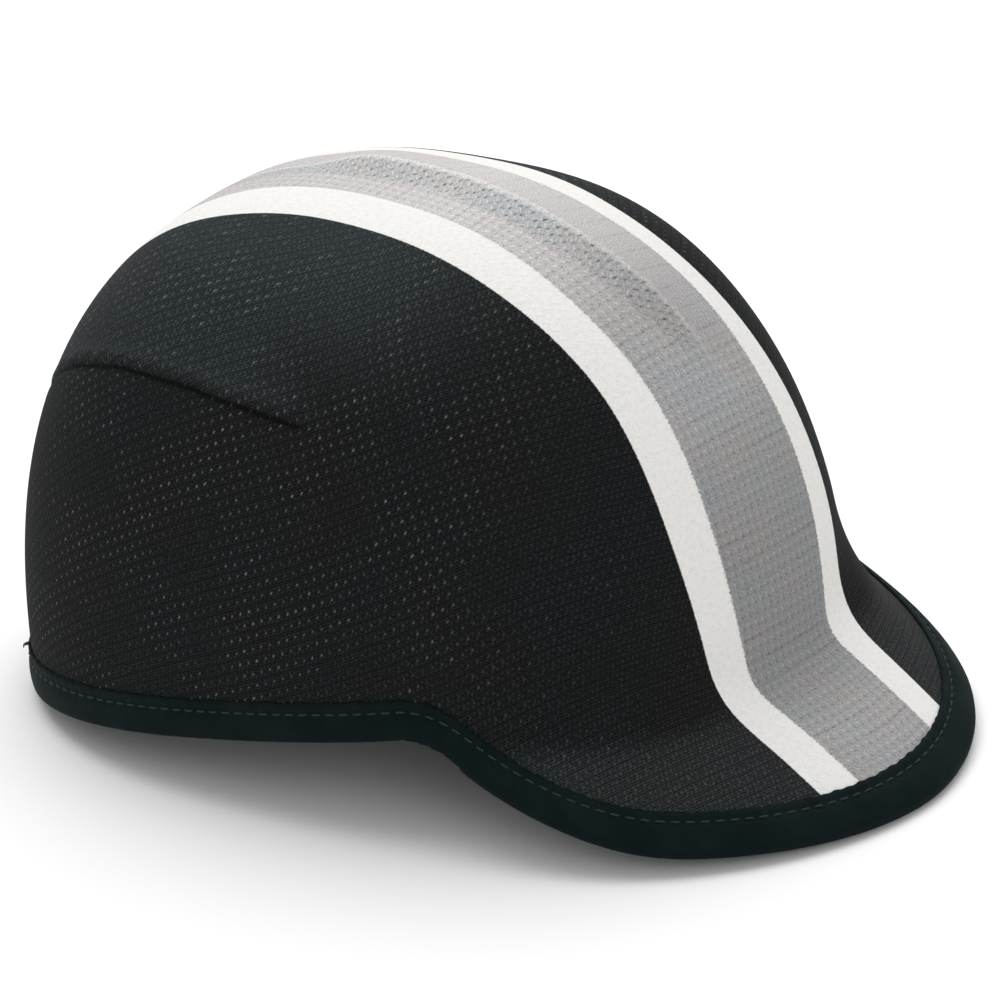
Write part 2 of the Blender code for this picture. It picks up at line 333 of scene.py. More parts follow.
def stitchLattice():
    # rows of short marks: row = floor(v / Down), each other row moved by Stagger of a pitch;
    # Mark = 1 inside an ellipse of Length by Width round each cell's middle, Shade = one random value a cell
    usual = (0.0, 2.5, 2.6, 0.0, 0.5, 0.3, 0.0, 0.5)
    tree, given, out = newGroup("stitchLattice", dict(zip(markParts, usual)), ("Mark", "Shade"))
    x, y = turnedParts(tree, given["Vector"], given["Angle"])
    rowAt = addMath(tree, "DIVIDE", y, given["Down"])
    row = addMath(tree, "FLOOR", rowAt)
    odd = times(tree, addMath(tree, "FLOORED_MODULO", row, 2.0), given["Stagger"])
    cellAt = addMath(tree, "ADD", addMath(tree, "DIVIDE", x, given["Across"]), odd)
    cell = addMath(tree, "FLOOR", cellAt)
    fromX = times(tree, addMath(tree, "SUBTRACT", addMath(tree, "FRACT", cellAt), 0.5), given["Across"])
    fromY = times(tree, addMath(tree, "SUBTRACT", addMath(tree, "FRACT", rowAt), 0.5), given["Down"])
    longway, wideway = turnedParts(tree, joinParts(tree, fromX, fromY), given["Tilt"])
    away = addVector(tree, "LENGTH", joinParts(tree, addMath(tree, "DIVIDE", longway, given["Length"]),
                                               addMath(tree, "DIVIDE", wideway, given["Width"])))
    tree.links.new(addRange(tree, away, 1.0, addMath(tree, "SUBTRACT", 1.0, given["Soft"])), out["Mark"])
    inputs = {"Vector": joinParts(tree, cell, row)}
    tree.links.new(addNode(tree, "ShaderNodeTexWhiteNoise", inputs, noise_dimensions="2D")["Value"], out["Shade"])
    return tree


def strayed(tree, vector, scale, amount):
    # a vector moved about by noise of a given scale
    noise = addNode(tree, "ShaderNodeTexNoise", {"Vector": vector, "Scale": scale, "Detail": 1.0})["Color"]
    centred = addVector(tree, "SUBTRACT", noise, (0.5, 0.5, 0.5))
    stray = addNode(tree, "ShaderNodeVectorMath", {0: centred, "Scale": amount}, operation="SCALE")["Vector"]
    return addVector(tree, "ADD", vector, stray)


def fineRibs():
    # fine lines across a direction: a rounded wave of the given pitch, bent by noise
    tree, given, out = newGroup("fineRibs", {"Angle": 0.0, "Pitch": 0.65, "Bend": 0.3}, ("Rib",))
    y = turnedParts(tree, given["Vector"], given["Angle"])[1]
    stray = times(tree, addNoise(tree, given["Vector"], 0.6, 1.0), given["Bend"])
    at = addMath(tree, "DIVIDE", addMath(tree, "ADD", y, stray), given["Pitch"])
    wave = addMath(tree, "SINE", times(tree, at, 2 * math.pi))
    tree.links.new(plus(tree, 0.5, wave, 0.5), out["Rib"])
    return tree


latticeGroup = stitchLattice()
ribGroup = fineRibs()


def ribLines(tree, vector, angle, pitch, bend):
    # fine lines at an angle, of a pitch and a bend
    return useGroup(tree, ribGroup, Vector=vector, Angle=angle, Pitch=pitch, Bend=bend)["Rib"]


print("node groups built")

# stripes: widths in mm from the centre line, by angle about a line across the cap: -6 at the tip, 190 at the back
stripeWidths = {
    "angle": (-8, 0, 10, 20, 30, 40, 50, 60, 70, 80, 90, 100, 112, 125, 150, 195),
    "rightOuter": (26.0, 26.2, 28.0, 29.1, 29.5, 28.4, 27.0, 27.1, 26.8, 25.0, 22.7, 21.6, 22.0, 20.5, 19.0, 19.0),
    "rightInner": (15.9, 15.4, 17.6, 18.2, 18.0, 16.8, 16.0, 16.7, 15.5, 13.3, 10.8, 9.2, 9.2, 10.2, 10.0, 10.0),
    "leftInner": (14.8, 16.0, 17.2, 20.0, 21.0, 20.4, 19.2, 17.2, 15.6, 16.2, 18.0, 17.4, 13.8, 11.2, 10.0, 10.0),
    "leftOuter": (24.6, 26.0, 28.4, 32.0, 31.6, 29.8, 27.0, 24.0, 22.8, 24.8, 27.6, 27.0, 24.0, 21.0, 19.0, 19.0),
    "hubBehind": 0.01476, "hubHeight": 0.020,
}
bandAngles = np.arange(-20.0, 200.0, 0.5)


def easedTable(name):
    # a table of widths on a fine row of angles, blurred so that its corners don't show
    line = np.interp(bandAngles, stripeWidths["angle"], stripeWidths[name])
    bell = np.exp(-0.5 * (np.arange(-24, 25) / 7.0) ** 2)
    padded = np.concatenate((np.full(24, line[0]), line, np.full(24, line[-1])))
    return np.convolve(padded, bell / bell.sum(), "valid") / 1000


bandTables = {name: easedTable(name) for name in ("rightOuter", "rightInner", "leftInner", "leftOuter")}


def bandAngle(points):
    # angle about the line across the cap
    behind, height = points[..., 1] - stripeWidths["hubBehind"], points[..., 2] - stripeWidths["hubHeight"]
    angle = np.degrees(np.arctan2(height, -behind))
    return np.where(angle < -90, angle + 360, angle)


centreLine = np.concatenate((clothSurface(np.array([0.0]), np.linspace(1, 0, 300)[None])[0],
                             clothSurface(np.array([180.0]), np.linspace(0, 1, 300)[None])[0]))
centreArcs = arcLengths(centreLine[None])[0]
centreAngles = np.maximum.accumulate(bandAngle(centreLine))


def bandMaps(points):
    # along: length of the centre line up to the same angle; across: x; stripe: x over the stripes' widths
    angle = bandAngle(points)
    along = np.interp(angle, centreAngles, centreArcs)
    x = points[..., 0]
    width = {name: np.interp(angle, bandAngles, table) for name, table in bandTables.items()}
    outer, inner = (np.where(x < 0, width["right" + edge], width["left" + edge]) for edge in ("Outer", "Inner"))
    return np.stack((x * 1000, along * 1000), -1), np.stack((x / outer, x / inner), -1)


def flatSide(columns, rows, rounds):
    # the side cloth laid flat: a net of springs as long as on the cap settles in the plane,
    # weak where the stripes are, so that the black cloth keeps its lengths
    turn = np.linspace(0, 180, columns)
    share = np.tile(np.linspace(0.02, 1, rows), (columns, 1))
    solid = clothSurface(turn, share)
    middle = columns // 2
    level = np.linalg.norm(np.diff(solid, axis=0), axis=-1)
    along = np.concatenate((np.zeros((1, rows)), np.cumsum(level, axis=0)))
    along = along - along[middle]
    flat = np.stack((along, -arcLengths(solid)), -1)
    firm = 0.02 + 0.98 * smoothStep(0.014, 0.022, solid[..., 0])
    late, early, each = slice(1, None), slice(None, -1), slice(None)
    pairs = (((late, each), (early, each)), ((each, late), (each, early)),
             ((late, late), (early, early)), ((late, early), (early, late)))
    springs = [(a, b, np.linalg.norm(solid[a] - solid[b], axis=-1), np.minimum(firm[a], firm[b])) for a, b in pairs]
    weight = np.zeros(firm.shape)
    for a, b, length, strength in springs:
        weight[a] += strength
        weight[b] += strength
    for step in range(rounds):
        push = np.zeros_like(flat)
        for a, b, length, strength in springs:
            gap = flat[b] - flat[a]
            size = np.maximum(np.linalg.norm(gap, axis=-1), 1e-9)
            move = gap * (strength * (size - length) / size)[..., None]
            push[a] += move
            push[b] -= move
        flat = flat + push * (0.9 / weight)[..., None] * 0.5
    strain = np.concatenate([(np.linalg.norm(flat[a] - flat[b], axis=-1) / length - 1)[strength > 0.9]
                             for a, b, length, strength in springs])
    print("side cloth laid flat, stretch from and to:", np.percentile(strain, (2, 98)).round(3).tolist())
    return turn, share[0], flat * 1000


def spreadFlat(chart, turn, share):
    # the flat chart at any line and share, by straight steps both ways
    turns, shares, flat = chart
    at = np.clip(np.abs(turn) / (turns[1] - turns[0]), 0, len(turns) - 1.001)[:, None]
    down = np.clip((share - shares[0]) / (shares[1] - shares[0]), 0, len(shares) - 1.001)
    a, b = np.broadcast_to(at.astype(int), down.shape), down.astype(int)
    p, q = (at - at.astype(int))[..., None], (down - b)[..., None]
    return ((flat[a, b] * (1 - q) + flat[a, b + 1] * q) * (1 - p)
            + (flat[a + 1, b] * (1 - q) + flat[a + 1, b + 1] * q) * p)


sideChart = flatSide(73, 49, 1500)

crown = {
    "columns": 440, "rowsAbove": 44, "rowsBelow": 60, "wall": 0.0010,
    "crestAt": (-0.0600, -0.0540, -0.0460, -0.0380, -0.0230, -0.0060, 0.0130, 0.0450),     # y of the ridge's crest
    "crestAside": (0.0085, 0.0062, 0.0026, 0.0006, -0.0006, 0.0004, 0.0036, 0.0050),       # and x
    "ridgeHeight": 0.0036, "ridgeNear": 0.0070, "ridgeFar": 0.0200,
    "ridgeFront": -0.0600, "ridgeBack": 0.0520, "ridgeFade": 0.0220,
    "dimple": (0.0105, -0.0560), "dimpleDepth": 0.0013, "dimpleReach": 0.0042,
    "shoulder": (0.0360, -0.0220), "shoulderHeight": 0.0012, "shoulderAside": 0.0130, "shoulderAlong": 0.0340,
    "dartTurns": (0, 84, 92, 102, 112, 121, 132, 138, 146, 154, 180),
    "dartShares": (0.505, 0.505, 0.486, 0.478, 0.485, 0.495, 0.522, 0.540, 0.573, 0.618, 0.700),
    "dartDepth": 0.0012, "dartReach": 0.0013, "dartStart": 82.0, "dartFade": 5.0,
    "dartSwell": 0.0009, "dartSwellReach": 0.0032, "rowsTurnBack": 0.0030, "rowsTurnAhead": 0.0010,
}


def creaseShare(turn):
    # share of each line at which the peak starts, 1 behind its roots
    return arcLengths(domeLine(turn, 160))[:, -1] / np.maximum(lineLength(turn), 1e-9)


def crownRows(turn):
    # shares of the rows: closer together on both sides of the dart's line
    dart = np.interp(np.abs(turn), crown["dartTurns"], crown["dartShares"]) * np.minimum(creaseShare(turn), 1)
    above = np.linspace(0, 1, crown["rowsAbove"] + 1)
    below = np.linspace(0, 1, crown["rowsBelow"] + 1)[1:]
    above = 1 - (1 - above) ** 1.35
    below = 0.65 * below ** 1.35 + 0.35 * below
    return np.hstack((dart[:, None] * above, dart[:, None] + (1 - dart[:, None]) * below)), dart


def crestOffset(points):
    # distance aside of the top ridge's crest
    return points[..., 0] - np.interp(points[..., 1], crown["crestAt"], crown["crestAside"])


def ridgeLift(points):
    # steep on the right, long on the left, faded at both ends, a small dent beside its front end,
    # and a low bell-shaped swell on the left shoulder
    aside, (x, y, z) = crestOffset(points), np.moveaxis(points, -1, 0)
    near = np.maximum(0, 1 + aside / crown["ridgeNear"]) ** 1.25
    far = np.maximum(0, 1 - aside / crown["ridgeFar"]) ** 1.6
    fade = smoothStep(0, 1, (y - crown["ridgeFront"]) / crown["ridgeFade"])
    fade = fade * smoothStep(0, 1, (crown["ridgeBack"] - y) / crown["ridgeFade"])
    away = np.hypot(x - crown["dimple"][0], y - crown["dimple"][1])
    dent = crown["dimpleDepth"] * np.exp(-(away / crown["dimpleReach"]) ** 2) * (z > 0.06)
    across = (x - crown["shoulder"][0]) / crown["shoulderAside"]
    along = (y - crown["shoulder"][1]) / crown["shoulderAlong"]
    swell = crown["shoulderHeight"] * np.exp(-across ** 2 - along ** 2) * smoothStep(0.05, 0.08, z)
    return crown["ridgeHeight"] * np.where(aside < 0, near, far) * fade * (z > 0.06) + swell - dent


def crownSurface(turn, share, dart):
    # cloth, moved along its normals by the ridge, by the side darts' narrow groove and by the roll above each groove
    points = clothSurface(turn, share)
    normal = gridNormals(points, True)
    normal[:, 0] = (0, 0, 1)
    away = (share - dart[:, None]) * lineLength(turn)[:, None]
    start = smoothStep(0, 1, (np.abs(turn) - crown["dartStart"]) / crown["dartFade"])
    start = (start * (1 - 0.75 * smoothStep(130, 152, np.abs(turn))))[:, None]
    groove = crown["dartDepth"] * np.exp(-(away / crown["dartReach"]) ** 2)
    roll = crown["dartSwell"] * np.exp(-((away / crown["dartSwellReach"] + 1) / 0.62) ** 2)
    lumps = 1 + 0.25 * np.sin(np.radians(turn) * 97)[:, None] * np.sin(np.radians(turn) * 31 + 1)[:, None]
    return points + normal * ((roll * lumps - groove) * start + ridgeLift(points))[..., None]


def buildCrown(material):
    # the cloth with a wall: outside, inside at a wall's depth along the normals, and the rim between them
    turn = -180 + 360 * np.arange(crown["columns"]) / crown["columns"]
    share, dart = crownRows(turn)
    outer = crownSurface(turn, share, dart)
    normal = gridNormals(outer, True)
    normal[:, 0] = (0, 0, 1)
    inner = outer - normal * crown["wall"]
    columns, rows = share.shape
    index = np.arange(columns * rows).reshape(columns, rows)
    index[:, 0] = 0
    deep = index + columns * rows
    fans = [np.stack((grid[:, 0], grid[:, 1], np.roll(grid[:, 1], -1)), -1) for grid in (index, deep)]
    outside = gridFaces(index[:, 1:], closedAcross=True)
    inside = gridFaces(deep[:, 1:], closedAcross=True, flip=True)
    rim = gridFaces(np.stack((index[:, -1], deep[:, -1]), -1), closedAcross=True)
    points = np.concatenate((outer, inner)).reshape(-1, 3)
    band, stripe = bandMaps(outer)
    side = spreadFlat(sideChart, turn, share)
    side[..., 1] += (crown["rowsTurnBack"] * np.maximum(side[..., 0], 0) ** 2
                     + crown["rowsTurnAhead"] * np.minimum(side[..., 0], 0) ** 2)
    ridge = np.stack((crestOffset(outer) * 1000, band[..., 1]), -1)
    fromDart = (share - dart[:, None]) * lineLength(turn)[:, None] * 1000
    dartMap = np.stack((fromDart, np.broadcast_to(np.abs(turn)[:, None], share.shape)), -1)
    maps = {"bandMap": band, "stripeMap": stripe, "sideMap": side, "ridgeMap": ridge, "dartMap": dartMap}
    spare = np.zeros((2, columns, rows), bool)      # all but the first of each sheet's points at the very top
    spare[:, 1:, 0] = True
    spare = spare.ravel()
    renumber = np.cumsum(~spare) - 1
    faces = [renumber[part] for part in (fans[0], outside, fans[1][:, ::-1], inside, rim)]
    maps = {name: np.concatenate((value, value)).reshape(-1, 2)[~spare] for name, value in maps.items()}
    addPiece("crownCloth", points[~spare], faces, maps, material, ["crown"])


rowAngle = math.radians(29.0)
knitLook = {
    "black": (0.0150, 0.0156, 0.0162, 1), "blackTeal": (0.0128, 0.0168, 0.0176, 1),
    # seam: a near-black colour painted as shade in the dart's groove
    "dot": (0.42, 0.45, 0.46, 1), "paintedGrooveShade": (0.002, 0.002, 0.002, 1),
    "white": (0.80, 0.787, 0.768, 1), "whiteWorn": (0.74, 0.728, 0.705, 1),
    # greyPaintedShadeTint: painted shade, a cool tint in the ridge's rows and on the front; greyPaintedLightTint:
    # painted light, a warm tint on top
    "greyPaintedShadeTint": (0.972, 0.997, 1.012, 1), "greyPaintedLightTint": (1.03, 0.985, 0.975, 1),
    # greyTonesWithPaintedLight: the grey's own tone with painted light, lighter on the peak and on top where the band
    # faces the light above, darker on the upright front
    "greyPlaces": (0, 25, 42, 72, 96, 106, 133, 157, 186, 240, 400),        # mm from the tip, along the middle
    "greyTonesWithPaintedLight": (0.335, 0.335, 0.258, 0.262, 0.300, 0.340, 0.370, 0.475, 0.535, 0.495, 0.480),
    "bumpStrength": 0.6, "bumpDepth": 0.0004,
    # marks: angle in radians, pitch along and down the rows in mm, stagger, half length, half width, tilt, softness
    "pebbles": (rowAngle, 1.25, 1.325, 0.5, 0.62, 0.46, 0.6, 0.9),
    "specks": (rowAngle, 2.5, 2.65, 0.0, 0.62, 0.36, 0.6, 0.8),
    "doubles": (rowAngle, 2.5, 2.65, 0.0, 0.40, 0.28, 0.5, 0.8),
    "leaves": (0.09, 2.6, 2.6, 0.0, 1.35, 0.58, 0.75, 0.75),
    "shadows": (0.09, 2.6, 2.6, 0.0, 1.15, 0.52, 0.75, 0.75), "pores": (0.0, 2.0, 1.75, 0.35, 0.85, 0.34, 0.9, 0.85),
    "braid": (0.0, 2.0, 1.75, 0.35, 0.85, 0.42, -0.7, 0.8),
    "doublesShift": (0.62, -0.40, 0.0), "shadowShift": (-0.75, 0.65, 0.0), "braidShift": (0.9, 0.85, 0.0),
    # lines: angle, pitch, bend
    "ribs": (rowAngle, 0.62, 0.35), "lines": (0.06, 5.8, 0.8), "ladder": (math.radians(90), 1.45, 1.2),
    "sideStray": (0.35, 0.7), "bandStray": (0.4, 0.7), "ridgeStray": (0.5, 0.9),
    # clouds: scale, detail and roughness of a noise, and its range
    "grain": (2.3, 2.0, 0.7, 0.3, 0.7), "tealPatches": (0.03, 2.0, 0.5, 0.42, 0.62),
    "openRows": (0.045, 2.0, 0.6, 0.36, 0.62, 0.14, 1.0), "fibre": (2.2, 2.0, 0.8, 0.32, 0.68, -1.0, 1.0),
    "lineBreaks": (0.25, 1.0, 0.5, 0.30, 0.60), "warmPatches": (0.05, 1.0, 0.5, 0.35, 0.65),
    "wornPatches": (0.8, 2.0, 0.7, 0.42, 0.72), "fray": (1.5, 3.0, 0.7),
    # zones, as product of two ranges from 0 to 1: y and z in metres, dart map, ridge map in mm
    # the high and dart zones hold a painted sheen; the peak zone holds painted light on the peak's lit top
    "paintedSheenTopZone": ((-0.045, 0.015), (0.092, 0.121)), "peakZone": ((-0.030, -0.055), (0.0285, 0.0215)),
    "calmZone": ((-0.015, -0.050), (0.014, 0.028)), "paintedSheenDartZone": ((0.6, -4.0), (78.0, 96.0)),
    "paintedGrooveShadeZone": ((0.9, 0.2), (82.0, 86.0)), "rowsZone": ((-7.0, -4.5), (0.5, -0.5)),
    # paintedCrestHighlightZone: where a highlight is painted along the ridge's crest
    "paintedCrestHighlightZone": ((-1.5, -0.5), (0.9, 0.1)),
    "crownAlong": (112.0, 128.0), "paintedWarmAlong": (112.0, 150.0), "farAside": (0.5, 2.5),
    "outerEdge": (0.993, 1.006), "innerEdge": (1.018, 0.982), "outerFray": 0.020, "innerFray": 0.13,
    # shares of each part in the black cloth's shade, in its specks, and in the grey cloth's weave with its painted
    # light and shade, and in its height
    # plain, peak and high make the lift: painted light on the lit peak and a painted sheen on top and above the dart
    "shade": {"ground": 0.06, "grain": 0.55, "ribs": 0.42, "pebble": 1.05, "plain": 0.93, "peak": 1.20, "high": 1.55},
    "paintedSheenDartShare": 0.75, "tealShare": 0.6, "paintedGrooveShadeShare": 0.75, "pebbleHeight": 0.60, "ribHeight": 0.35,
    "speck": {"low": 0.22, "spread": 0.42, "power": 3.0, "calm": -0.74, "high": 0.5, "mix": 0.58,
              "secondPower": 2.5, "second": 0.7},
    "linePower": 40.0,
    "weaveAndPaintedLight": {"fibre": 0.24, "leaf": 0.24, "shadow": -0.26, "lines": -0.17, "ladder": 0.16, "pore": -0.62,
             "braid": 0.26, "rows": -0.08, "farTop": 0.01, "crest": 0.24},
    "height": {"fibre": 0.18, "pore": -0.9, "braid": 0.8},
}


def scaledBy(tree, colour, value):
    # a colour times a grey value
    return addMix(tree, 1.0, colour, value, "MULTIPLY")


def zone(tree, name, first, second):
    # product of the two ranges of the zone's name
    return times(tree, *(addRange(tree, value, *ends) for value, ends in zip((first, second), knitLook[name])))


def marks(tree, name, vector, shift=(0.0, 0.0, 0.0)):
    # one of the knit's lattices of short marks, moved by a shift
    moved = addVector(tree, "ADD", vector, shift)
    return useGroup(tree, latticeGroup, Vector=moved, **dict(zip(markParts, knitLook[name])))


def toneCurve(tree, value, places, tones):
    # the tones at their places along a value, and straight between them
    node = tree.nodes.new("ShaderNodeFloatCurve")
    curve, reach = node.mapping.curves[0], places[-1]
    curve.points[0].location, curve.points[1].location = (0, tones[0]), (1, tones[-1])
    for place, tone in list(zip(places, tones))[1:-1]:
        curve.points.new(place / reach, tone)
    for point in curve.points:
        point.handle_type = "VECTOR"
    node.mapping.update()
    tree.links.new(addMath(tree, "DIVIDE", value, reach), node.inputs["Value"])
    return node.outputs["Value"]


def blackKnit(tree, side, dart):
    # shade = (ground + grain + lines + pebbles) * lift; the lift is painted light: a painted sheen on top and above
    # the dart, and painted light on the peak's lit top;
    # over it light specks in the open rows, more of them where the painted sheen is, and a dark line painted as shade
    # in the dart's groove
    look, share, speckShare = knitLook, knitLook["shade"], knitLook["speck"]
    place = addNode(tree, "ShaderNodeTexCoord", {})["Object"]
    spot = addNode(tree, "ShaderNodeSeparateXYZ", {"Vector": place})
    y, z = spot["Y"], spot["Z"]
    fromDart, dartTurn = turnedParts(tree, dart, 0.0)
    woven = strayed(tree, side, *look["sideStray"])
    ribs = ribLines(tree, side, *look["ribs"])
    pebbles, specks = marks(tree, "pebbles", woven), marks(tree, "specks", woven)
    doubles = marks(tree, "doubles", woven, look["doublesShift"])
    pebble = times(tree, pebbles["Mark"], plus(tree, 0.25, pebbles["Shade"], 0.75))
    onPeak = zone(tree, "peakZone", y, z)
    paintedSheenAboveDart = times(tree, zone(tree, "paintedSheenDartZone", fromDart, dartTurn), look["paintedSheenDartShare"])
    high = addMath(tree, "MAXIMUM", zone(tree, "paintedSheenTopZone", y, z), paintedSheenAboveDart)
    # teal tint: random patches, and on top and above the dart it is part of the painted sheen
    tealPatchesAndSheen = addMath(tree, "MAXIMUM", times(tree, cloud(tree, side, look["tealPatches"]), look["tealShare"]), high)
    shade = plus(tree, share["ground"], cloud(tree, side, look["grain"]), share["grain"])
    shade = plus(tree, plus(tree, shade, ribs, share["ribs"]), pebble, share["pebble"])
    # lift: painted light on the peak's lit top and a painted sheen on top and above the dart
    lift = plus(tree, plus(tree, share["plain"], onPeak, share["peak"]), high, share["high"])
    cloth = scaledBy(tree, addMix(tree, tealPatchesAndSheen, look["black"], look["blackTeal"]), times(tree, shade, lift))

    calm = addMath(tree, "MAXIMUM", zone(tree, "calmZone", y, z), onPeak)
    openness = times(tree, cloud(tree, side, look["openRows"]), plus(tree, 1.0, calm, speckShare["calm"]))
    openness = addMath(tree, "MAXIMUM", openness, times(tree, high, speckShare["high"]))
    chance = addMath(tree, "POWER", specks["Shade"], speckShare["power"])
    speck = times(tree, specks["Mark"], plus(tree, speckShare["low"], chance, speckShare["spread"]))
    chance = addMath(tree, "POWER", doubles["Shade"], speckShare["secondPower"])
    second = times(tree, doubles["Mark"], high, chance, speckShare["second"])
    speck = times(tree, addMath(tree, "MAXIMUM", speck, second), openness, speckShare["mix"])
    cloth = addMix(tree, speck, cloth, look["dot"])
    # a near-black line painted as shade in the dart's groove
    paintedGrooveShade = zone(tree, "paintedGrooveShadeZone", addMath(tree, "ABSOLUTE", fromDart), dartTurn)
    cloth = addMix(tree, times(tree, paintedGrooveShade, look["paintedGrooveShadeShare"]), cloth, look["paintedGrooveShade"])
    return cloth, plus(tree, times(tree, ribs, look["ribHeight"]), pebble, look["pebbleHeight"])


def greyKnit(tree, band, ridge, grey):
    # tint * tone along the middle * weave; tint and tone hold painted light, warm and lighter on top, cool in the
    # ridge's rows;
    # weave = 1 + the shares of fibres, of leaf-like marks and their painted shadows on the flat cloth, of pores
    # painted dark as shade and a braid beside the ridge's crest, of thin lines, and of painted shade and a painted
    # highlight round the crest
    look = knitLook
    aside, along = turnedParts(tree, ridge, 0.0)
    bandWoven, ridgeWoven = strayed(tree, band, *look["bandStray"]), strayed(tree, ridge, *look["ridgeStray"])
    onCrown = addRange(tree, along, *look["crownAlong"])
    farTop = times(tree, addRange(tree, aside, *look["farAside"]), onCrown)
    rows = times(tree, zone(tree, "rowsZone", aside, aside), onCrown)
    flat = addMath(tree, "SUBTRACT", 1.0, addMath(tree, "MAXIMUM", rows, farTop))
    pores = marks(tree, "pores", ridgeWoven)
    lines = ribLines(tree, band, *look["lines"])
    ladder = ribLines(tree, band, *look["ladder"])
    # painted light round the ridge: the shares of rows and farTop paint shade on the crest's near side and light on
    # its far side, crest paints a highlight along the crest, and pores are painted dark as shade in the knit's holes
    parts = {
        "fibre": cloud(tree, band, look["fibre"]),
        "leaf": times(tree, marks(tree, "leaves", bandWoven)["Mark"], flat),
        "shadow": times(tree, marks(tree, "shadows", bandWoven, look["shadowShift"])["Mark"], flat),
        "lines": times(tree, addMath(tree, "POWER", lines, look["linePower"]), cloud(tree, band, look["lineBreaks"])),
        "ladder": times(tree, farTop, addMath(tree, "SUBTRACT", ladder, 0.5)),
        "pore": times(tree, pores["Mark"], plus(tree, 0.4, pores["Shade"], 0.6), rows),
        "braid": times(tree, marks(tree, "braid", ridgeWoven, look["braidShift"])["Mark"], rows),
        "rows": rows, "farTop": farTop,
        "crest": times(tree, zone(tree, "paintedCrestHighlightZone", aside, aside), onCrown),
    }
    weaveAndPaintedLight = weighted(tree, 1.0, parts, look["weaveAndPaintedLight"])
    height = weighted(tree, times(tree, parts["leaf"], plus(tree, 0.3, grey, 0.5)), parts, look["height"])
    # painted light and shade in the tint: warm on top, cool in the ridge's rows and on the front, with random warm
    # patches
    paintedWarmthAndPatches = times(tree, addMath(tree, "SUBTRACT", 1.0, rows), addRange(tree, along, *look["paintedWarmAlong"]))
    paintedWarmthAndPatches = addMath(tree, "MAXIMUM", paintedWarmthAndPatches, cloud(tree, band, look["warmPatches"]))
    # tone along the middle: the grey's own tone with painted light
    tone = toneCurve(tree, along, look["greyPlaces"], look["greyTonesWithPaintedLight"])
    tint = addMix(tree, paintedWarmthAndPatches, look["greyPaintedShadeTint"], look["greyPaintedLightTint"])
    return scaledBy(tree, scaledBy(tree, tint, tone), weaveAndPaintedLight), height


def knitMaterial():
    # black, white and grey cloth, mixed where the stripe map passes 1: the outer edge is crisp, the inner frayed
    look = knitLook
    material, tree, shader = newMaterial("knit", 0.88, sheen=0.015, sheenRoughness=0.5, specular=0.07)
    mapNames = ("bandMap", "stripeMap", "sideMap", "ridgeMap", "dartMap")
    band, stripe, side, ridge, dart = (addMap(tree, name) for name in mapNames)
    outer, inner = turnedParts(tree, stripe, 0.0)
    fray = addMath(tree, "SUBTRACT", addNoise(tree, band, *look["fray"]), 0.5)
    outerAt = plus(tree, addMath(tree, "ABSOLUTE", outer), fray, look["outerFray"])
    innerAt = plus(tree, addMath(tree, "ABSOLUTE", inner), fray, look["innerFray"])
    black = addRange(tree, outerAt, *look["outerEdge"])
    grey = addRange(tree, innerAt, *look["innerEdge"])
    blackCloth, blackHeight = blackKnit(tree, side, dart)
    greyCloth, greyHeight = greyKnit(tree, band, ridge, grey)
    whiteCloth = addMix(tree, cloud(tree, band, look["wornPatches"]), look["white"], look["whiteWorn"])
    light = addMix(tree, grey, whiteCloth, greyCloth)
    tree.links.new(addMix(tree, black, light, blackCloth), shader.inputs["Base Color"])
    height = addNode(tree, "ShaderNodeMix", {0: black, 2: greyHeight, 3: blackHeight}, data_type="FLOAT")[0]
    addBump(tree, shader, height, look)
    return material


def addBump(tree, shader, height, look):
    # normals bent by the slope of a height, which is in shares of the depth
    inputs = {"Strength": look["bumpStrength"], "Distance": look["bumpDepth"], "Height": height}
    tree.links.new(addNode(tree, "ShaderNodeBump", inputs)["Normal"], shader.inputs["Normal"])


tapeLook = {
    "dark": (0.0018, 0.0068, 0.0072, 1), "light": (0.0036, 0.0095, 0.0102, 1),
    "ribs": (math.radians(45), 0.45, 0.15), "ribShare": 0.3, "ground": 0.6,
    "patches": (0.08, 3.0, 0.6, 0.35, 0.65), "grain": (2.0, 2.0, 0.6), "grainShare": 0.5,
    "bumpStrength": 0.12, "bumpDepth": 0.0002,
}


def tapeMaterial():
    # smooth woven tape: faint slanting lines, a little cloudiness
    material, tree, shader = newMaterial("tape", 0.7, sheenRoughness=0.4, specular=0.06)
    place = addMap(tree, "tapeMap")
    ribs = ribLines(tree, place, *tapeLook["ribs"])
    shade = plus(tree, tapeLook["ground"], ribs, tapeLook["ribShare"])
    shade = plus(tree, shade, addNoise(tree, place, *tapeLook["grain"]), tapeLook["grainShare"])
    colour = addMix(tree, cloud(tree, place, tapeLook["patches"]), tapeLook["dark"], tapeLook["light"])
    tree.links.new(scaledBy(tree, colour, shade), shader.inputs["Base Color"])
    addBump(tree, shader, ribs, tapeLook)
    return material


peakLook = {
    "dark": (0.0085, 0.0098, 0.0105, 1), "light": (0.0190, 0.0210, 0.0220, 1),
    "ribs": (0.7, 0.1), "patches": (0.05, 3.0, 0.6, 0.3, 0.7, 0.8, 1.2),
    "bumpStrength": 0.4, "bumpDepth": 0.0003,
}


def peakMaterial():
    # plain close cloth: two crossing sets of ribs
    material, tree, shader = newMaterial("peakCloth", 0.85, sheen=0.02, specular=0.10)
    place = addMap(tree, "peakMap")
    weave = times(tree, *(ribLines(tree, place, math.radians(angle), *peakLook["ribs"]) for angle in (0, 90)))
    colour = addMix(tree, weave, peakLook["dark"], peakLook["light"])
    tree.links.new(scaledBy(tree, colour, cloud(tree, place, peakLook["patches"])), shader.inputs["Base Color"])
    addBump(tree, shader, weave, peakLook)
    return material


